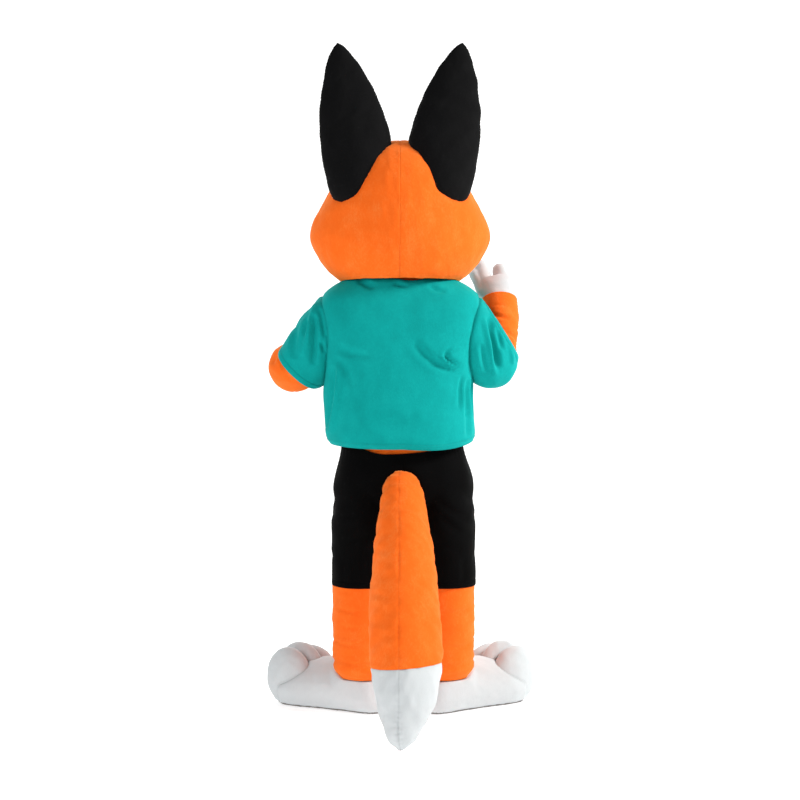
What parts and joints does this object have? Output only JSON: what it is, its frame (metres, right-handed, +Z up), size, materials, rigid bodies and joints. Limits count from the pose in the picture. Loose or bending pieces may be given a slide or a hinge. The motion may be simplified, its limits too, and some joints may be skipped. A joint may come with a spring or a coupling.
{
  "type": "fox mascot costume",
  "caption": "Plush fox mascot costume in its worn pose: padded head, bodysuit, cropped tee, shorts, stuffed tail, padded feet and gloves.",
  "frame": {"origin": "the middle of the wearer's shoulders, 1400 mm above the soles, where the costume is carried", "axes": "+X to the wearer's left, +Y to the back, +Z up"},
  "size_m": [0.9183, 0.9608, 2.2297],
  "materials": {
    "orange_plush": "short-pile plush with a soft sheen",
    "white_plush": "short-pile plush, warm white",
    "black_plush": "short-pile plush with a soft sheen",
    "teal_plush": "thin velour with a clear nap",
    "shorts_cloth": "smooth black stretch cloth",
    "sole_foam": "matt foam rubber",
    "gloss_black": "polished moulded plastic"
  },
  "bodies": {
    "root": {"ear_back_left": "black_plush", "ear_back_right": "black_plush", "ear_front_left": "white_plush", "ear_front_right": "white_plush", "eye_left": "gloss_black", "eye_right": "gloss_black", "foot_sole_left": "sole_foam", "foot_sole_right": "sole_foam", "foot_upper_left": "white_plush", "foot_upper_right": "white_plush", "glove_back_left": "white_plush", "glove_back_right": "white_plush", "glove_palm_left": "white_plush", "glove_palm_right": "white_plush", "head_back_left": "orange_plush", "head_back_right": "orange_plush", "head_cheek_left": "white_plush", "head_cheek_right": "white_plush", "head_front_left": "orange_plush", "head_front_right": "orange_plush", "muzzle_left": "white_plush", "muzzle_right": "white_plush", "nose": "gloss_black", "shorts_back_left": "shorts_cloth", "shorts_back_right": "shorts_cloth", "shorts_front_left": "shorts_cloth", "shorts_front_right": "shorts_cloth", "suit_arm_left": "orange_plush", "suit_arm_right": "orange_plush", "suit_back": "orange_plush", "suit_collar": "orange_plush", "suit_front": "orange_plush", "suit_leg_left": "orange_plush", "suit_leg_right": "orange_plush", "tail_left": "orange_plush", "tail_right": "orange_plush", "tail_tip_left": "white_plush", "tail_tip_right": "white_plush", "tee_back": "teal_plush", "tee_front": "teal_plush", "tee_sleeve_left": "teal_plush", "tee_sleeve_right": "teal_plush", "toe_a_left": "white_plush", "toe_a_right": "white_plush", "toe_b_left": "white_plush", "toe_b_right": "white_plush", "toe_c_left": "white_plush", "toe_c_right": "white_plush"}
  },
  "joints": []
}
